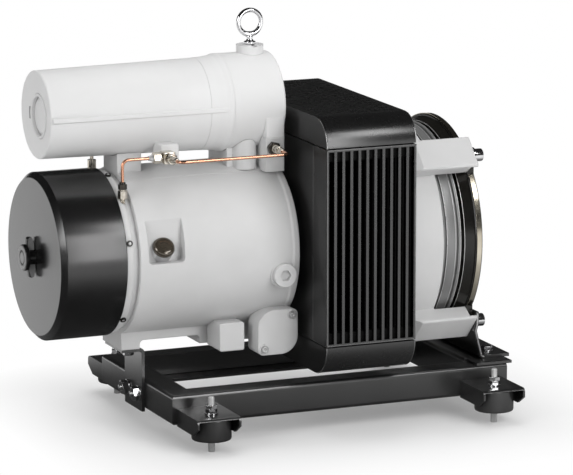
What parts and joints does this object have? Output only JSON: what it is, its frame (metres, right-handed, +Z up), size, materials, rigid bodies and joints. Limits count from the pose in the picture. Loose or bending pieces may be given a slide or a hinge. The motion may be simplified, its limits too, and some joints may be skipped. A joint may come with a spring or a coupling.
{
  "type": "rotary vane compressor",
  "caption": "Open rotary vane compressor on a steel frame with rubber feet, with intake filter, oil separator, fan cooler and a flange for a drive motor.",
  "frame": {"origin": "on the floor in the middle of the rectangle of the four foot studs", "axes": "+X along the shaft towards the motor flange, +Y to the far side away from the sight glass, +Z up"},
  "size_m": [0.9153, 0.564, 0.7595],
  "materials": {
    "frame_black": "satin black powder coat",
    "buffer_rubber": "moulded black rubber",
    "zinc_steel": "bright zinc plated",
    "cover_black": "satin black paint",
    "knob_black": "moulded black plastic",
    "casting_grey": "light grey paint on cast metal",
    "separator_white": "near-white paint on cast metal",
    "cooler_black": "semi-gloss black powder coat",
    "core_aluminium": "brazed aluminium, dark",
    "fan_plastic": "black moulded fan",
    "machined_steel": "turned and ground steel",
    "cast_iron": "machined cast iron",
    "vane_iron": "ground iron vanes",
    "bearing_bronze": "bronze bush",
    "seal_rubber": "black lip seal",
    "chrome_bright": "polished chrome",
    "glass_dark": "dark domed window",
    "filter_paper": "pleated filter medium",
    "separator_felt": "wound glass fibre",
    "fitting_black": "blackened steel fitting",
    "fitting_nickel": "nickel plated brass",
    "copper_tube": "bright copper tube",
    "ring_grey": "machined grey ring",
    "flange_black": "gloss black enamel"
  },
  "bodies": {
    "machine": {"rail_near": "frame_black", "rail_far": "frame_black", "cross_member_left": "frame_black", "cross_member_right": "frame_black", "foot_bracket_near_left": "frame_black", "foot_bracket_near_right": "frame_black", "foot_bracket_far_left": "frame_black", "foot_bracket_far_right": "frame_black", "rubber_buffers": "buffer_rubber", "foot_fasteners": "zinc_steel", "left_support": "frame_black", "right_support": "frame_black", "support_bolts": "zinc_steel", "filter_cartridge": "filter_paper", "filter_stud": "zinc_steel", "intake_cover": "casting_grey", "cover_screws": "zinc_steel", "intake_valve_spring": "machined_steel", "control_fitting": "fitting_nickel", "main_casing": "casting_grey", "stator": "cast_iron", "end_plate_left": "cast_iron", "end_plate_right": "cast_iron", "bearing_bushes": "bearing_bronze", "shaft_seal": "seal_rubber", "sight_glass_ring": "chrome_bright", "sight_glass_lens": "glass_dark", "side_cover": "casting_grey", "side_cover_screws": "zinc_steel", "separator_housing": "separator_white", "separator_cartridge": "separator_felt", "pressure_valve_spring": "machined_steel", "elbow_fitting": "fitting_black", "copper_pipe_left": "copper_tube", "tee_fitting": "fitting_black", "copper_pipe_right": "copper_tube", "outlet_fitting": "fitting_black", "cooler_side_left": "cooler_black", "cooler_side_right": "cooler_black", "cooler_top_cover": "cooler_black", "cooler_bottom_cover": "cooler_black", "cooler_front_grille": "cooler_black", "cooler_rear_grille": "cooler_black", "oil_cooler_core": "core_aluminium", "air_cooler_core": "core_aluminium", "bell_housing": "casting_grey", "stepped_ring": "ring_grey", "flange_ring": "flange_black", "flange_screws": "chrome_bright"},
    "rotor": {"rotor_shaft": "machined_steel", "vanes": "vane_iron", "fan_wheel": "fan_plastic", "coupling_hub": "machined_steel"},
    "cover": {"filter_cover": "cover_black"},
    "knob": {"cover_knob": "knob_black"},
    "filler_plug": {"oil_filler_plug": "casting_grey"},
    "end_plug": {"separator_plug": "separator_white"},
    "eyebolt": {"lifting_eyebolt": "chrome_bright"},
    "intake_valve": {"intake_valve_plate": "machined_steel"},
    "outlet_valve": {"pressure_valve_poppet": "machined_steel"}
  },
  "joints": [
    {"name": "shaft_spin", "type": "hinge", "parent": "machine", "child": "rotor", "pos_m": [0, 0, 0.33], "axis": [1, 0, 0], "continuous": true},
    {"name": "cover_slide", "type": "slide", "parent": "machine", "child": "cover", "axis": [-1, 0, 0], "range_m": [0, 0.14]},
    {"name": "knob_turn", "type": "hinge", "parent": "cover", "child": "knob", "pos_m": [-0.545, 0, 0.33], "axis": [-1, 0, 0], "continuous": true},
    {"name": "filler_plug_turn", "type": "hinge", "parent": "machine", "child": "filler_plug", "pos_m": [-0.1017, -0.15, 0.291], "axis": [0, -1, 0], "continuous": true},
    {"name": "end_plug_turn", "type": "hinge", "parent": "machine", "child": "end_plug", "pos_m": [-0.51, -0.016, 0.589], "axis": [-1, 0, 0], "continuous": true},
    {"name": "eyebolt_turn", "type": "hinge", "parent": "machine", "child": "eyebolt", "pos_m": [-0.106, 0, 0.7], "axis": [0, 0, 1], "continuous": true},
    {"name": "intake_valve_lift", "type": "slide", "parent": "machine", "child": "intake_valve", "axis": [1, 0, 0], "range_m": [0, 0.012], "stiffness_N_per_m": 400, "springref_m": -0.005, "deforming": ["intake_valve_spring"]},
    {"name": "outlet_valve_lift", "type": "slide", "parent": "machine", "child": "outlet_valve", "axis": [0, 1, 0], "range_m": [0, 0.008], "stiffness_N_per_m": 800, "springref_m": -0.005, "deforming": ["pressure_valve_spring"]}
  ]
}
